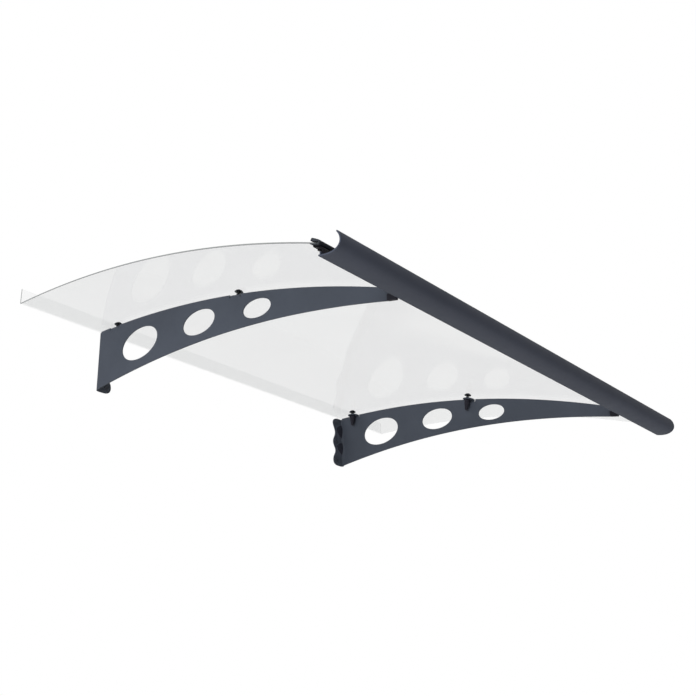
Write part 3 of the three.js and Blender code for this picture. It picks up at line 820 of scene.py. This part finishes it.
# ---------------------------------------------------------------- turned pieces
CAP = [(0, -12.5), (2.2, -12.5), (2.6, -12.3), (3, -11.8), (3, 8.9), (9.3, 8.9), (9.65, 9.0), (9.85, 9.2)] + \
      catmull([(9.9, 9.45), (9.75, 9.95), (8.6, 11.3), (6.6, 13.0), (3.7, 14.4), (1.6, 14.82), (0, 14.9)], 5)
RING = [(3.3, 7.8), (8.1, 7.8), (8.3, 8.0), (8.3, 8.4), (8.1, 8.6), (3.3, 8.6), (3.3, 7.8)]
SLEEVE = [(3.3, 0.3), (4.7, 0.3), (4.9, 0.5), (4.9, 4.0), (4.7, 4.2), (3.3, 4.2), (3.3, 0.3)]
CONE = catmull([(0, -33), (1.5, -32.95), (2.8, -32.6), (3.9, -31.4), (4.5, -29), (5.3, -25.5), (6.9, -17), (7.8, -9.5)], 4)[:-1] + \
    [(7.8, -9.5), (7.95, -8.6), (8.3, -6.2), (8.4, -5.4), (8.35, -4.4), (8.05, -3.3), (7.4, -2.85), (7.0, -2.8),
     (3.3, -2.8), (3.3, -14), (0, -14)]


PLUG = [(0, 0.4), (2.6, 0.4), (2.85, 0.5), (2.95, 0.7), (2.95, 2.8), (5.2, 2.8), (5.4, 2.95), (5.48, 3.15), (5.35, 3.5),
        (4.9, 3.75), (4.2, 3.95), (3.2, 4.1), (1.8, 4.18), (0, 4.2)]


def screw_profile(grip):
    return [(0, -grip - 2.6), (1.4, -grip - 2.55), (2.6, -grip - 2.3), (3.4, -grip - 1.8), (3.9, -grip - 1.2), (4.0, -grip - 0.7),
            (4.0, -grip - GAP), (2.0, -grip - GAP), (2.0, -0.4), (1.6, 0), (0, 0)]


def make_turned(node, name, profile, spot, slot, mat, segments=64, angle=40.0, recess=None):
    ob = lathe(name, profile, segments, lambda p: spot @ (Vector(p) * MM))
    if recess is not None:
        for turn in (0, math.pi / 2):
            bar_at = spot @ Matrix.Translation((0, 0, recess * MM)) @ Matrix.Rotation(turn, 4, "Z")
            w, l = 0.45, 2.0
            v = [(-l, -w, -1.4), (l, -w, -1.4), (l, w, -1.4), (-l, w, -1.4), (-l * 0.5, -w * 0.7, 1.5), (l * 0.5, -w * 0.7, 1.5),
                 (l * 0.5, w * 0.7, 1.5), (-l * 0.5, w * 0.7, 1.5)]
            f = [[0, 3, 2, 1], [4, 5, 6, 7], [0, 1, 5, 4], [1, 2, 6, 5], [2, 3, 7, 6], [3, 0, 4, 7]]
            boolean(ob, mesh_object("bar", v, f, lambda p: bar_at @ (Vector(p) * MM)), "DIFFERENCE")
    shade(ob, angle)
    return finish_piece(ob, node, slot, mat)


def make_fixings():
    for side, word in ((-1, "left"), (1, "right")):
        for y, where in zip(FIX_Y, ("rear", "front")):
            spot = Matrix.Translation(put((side * FIX_X, y, top_z(y)))) @ Matrix.Rotation(tilt(y), 4, "X")
            at = word + "_" + where
            make_turned("fixing_cap_" + at, "cap_" + at, CAP, spot, "black_plastic", BLACK)
            make_turned("sealing_ring_" + at, "ring_" + at, RING, spot, "seal_rubber", RUBBER)
            make_turned("spacer_sleeve_" + at, "sleeve_" + at, SLEEVE, spot, "black_plastic", BLACK)
            make_turned("cone_nut_" + at, "cone_" + at, CONE, spot, "black_plastic", BLACK_PAINTED_LIGHTER)
        for node, x, s in (("tip_screw_" + word, TIP_SCREW_X, TIP_SCREW_S), ("hanger_screw_" + word, HANGER_X, HANGER_SCREW_S)):
            y, z = channel_point(s, -2.2)
            spot = Matrix.Translation(put((side * x, y, z))) @ Matrix.Rotation(CHANNEL_TILT, 4, "X")
            grip = 2.3 + SHEET + 0.1
            make_turned(node, node + "_turned", screw_profile(grip), spot, "black_screw", SCREW, 40, 40.0, recess=-grip - 2.6)
        for (inward, z), row in zip(WALL_HOLES, ("top", "middle", "bottom")):
            spot = Matrix.Translation(put((side * (OUTER_X - inward), 0.0, z))) @ Matrix.Rotation(math.pi / 2, 4, "X")
            node = "wall_plug_" + word + "_" + row
            make_turned(node, node + "_turned", PLUG, spot, "grey_plastic", GREY, 48)


make_panel()
make_channel()
make_gutter()
for SIDE, WORD in ((-1, "left"), (1, "right")):
    make_bracket(SIDE, WORD)
    make_clip(SIDE, WORD)
    make_hanger(SIDE, WORD)
make_fixings()

# ---------------------------------------------------------------- camera
cam_data = bpy.data.cameras.new("camera")
cam = bpy.data.objects.new("camera", cam_data)
bpy.context.scene.collection.objects.link(cam)
right = Vector((0.64134927, -0.76662471, -0.03094629))
down = Vector((0.28445886, 0.27504737, -0.91838559))
ahead = Vector((0.71256878, 0.58020299, 0.39447463))
m = Matrix.Identity(4)
for row in range(3):
    m[row][0], m[row][1], m[row][2] = right[row], -down[row], -ahead[row]
m.translation = Vector((-1.804758, -1.882851, -1.046040))
cam.matrix_world = m
cam_data.sensor_width = 36.0
cam_data.lens = 51.607
cam_data.shift_x = -0.5 / 696
cam_data.shift_y = 0.5 / 696
cam_data.clip_start = 0.01
cam_data.clip_end = 60.0
bpy.context.scene.camera = cam

# ---------------------------------------------------------------- studio
view = bpy.context.scene.view_settings
view.view_transform = "Standard"
view.look = "None"
world = bpy.data.worlds.new("studio")
bpy.context.scene.world = world
world.use_nodes = True
bg = world.node_tree.nodes["Background"]
bg.inputs["Color"].default_value = (1.0, 1.0, 1.0, 1.0)
AMBIENT = 0.27
path = world.node_tree.nodes.new("ShaderNodeLightPath")
level = world.node_tree.nodes.new("ShaderNodeMapRange")
level.inputs["To Min"].default_value = AMBIENT
level.inputs["To Max"].default_value = 1.0
world.node_tree.links.new(path.outputs["Is Camera Ray"], level.inputs["Value"])
world.node_tree.links.new(level.outputs["Result"], bg.inputs["Strength"])


def area(name, place, target, size, watts, colour=(1, 1, 1)):
    data = bpy.data.lights.new(name, "AREA")
    data.shape = "RECTANGLE"
    data.size, data.size_y = size
    data.energy = watts
    data.color = colour
    ob = bpy.data.objects.new(name, data)
    bpy.context.scene.collection.objects.link(ob)
    ob.visible_glossy = False          # the clear sheet would mirror the lamp as a white block
    place, target = Vector(place), Vector(target)
    ob.matrix_world = Matrix.Translation(place) @ (target - place).to_track_quat("-Z", "Y").to_matrix().to_4x4()
    return ob


area("key", (-3.7, -1.05, 0.7), (0, -0.45, -0.1), (1.6, 1.6), 82.0)
area("top", (0.4, 2.4, 3.2), (0, 0.2, -3.4), (3.0, 3.0), 190.0)
area("fill", (3.2, 1.0, 1.2), (0, -0.45, -0.1), (2.4, 2.4), 34.0)

floor_mat = bpy.data.materials.new("pale_floor")
nt, sh = nodes_of(floor_mat)
v = coords_of(nt, (1, 1, 1))
nt.links.new(ramp(nt, noise(nt, v, 1.2, 4.0, 0.6), [(0.3, (0.77, 0.77, 0.77)), (0.7, (0.81, 0.81, 0.805))]), sh.inputs["Base Color"])
nt.links.new(spread(nt, noise(nt, v, 14.0, 3.0, 0.6), 0.55, 0.7), sh.inputs["Roughness"])
bump(nt, sh, [(noise(nt, v, 160.0, 3.0, 0.6), 0.1, 0.0004)])
seen = nt.nodes.new("ShaderNodeLightPath")
lift = nt.nodes.new("ShaderNodeMapRange")
lift.inputs["To Min"].default_value = 0.0
lift.inputs["To Max"].default_value = 0.42
nt.links.new(seen.outputs["Is Camera Ray"], lift.inputs["Value"])
nt.links.new(lift.outputs["Result"], sh.inputs["Emission Strength"])
sh.inputs["Emission Color"].default_value = (1.0, 1.0, 1.0, 1.0)
me = bpy.data.meshes.new("floor")
s = 14.0
me.from_pydata([(-s, -s, -3.4), (s, -s, -3.4), (s, s, -3.4), (-s, s, -3.4)], [], [[0, 1, 2, 3]])
floor = bpy.data.objects.new("floor", me)
bpy.context.scene.collection.objects.link(floor)
me.materials.append(floor_mat)
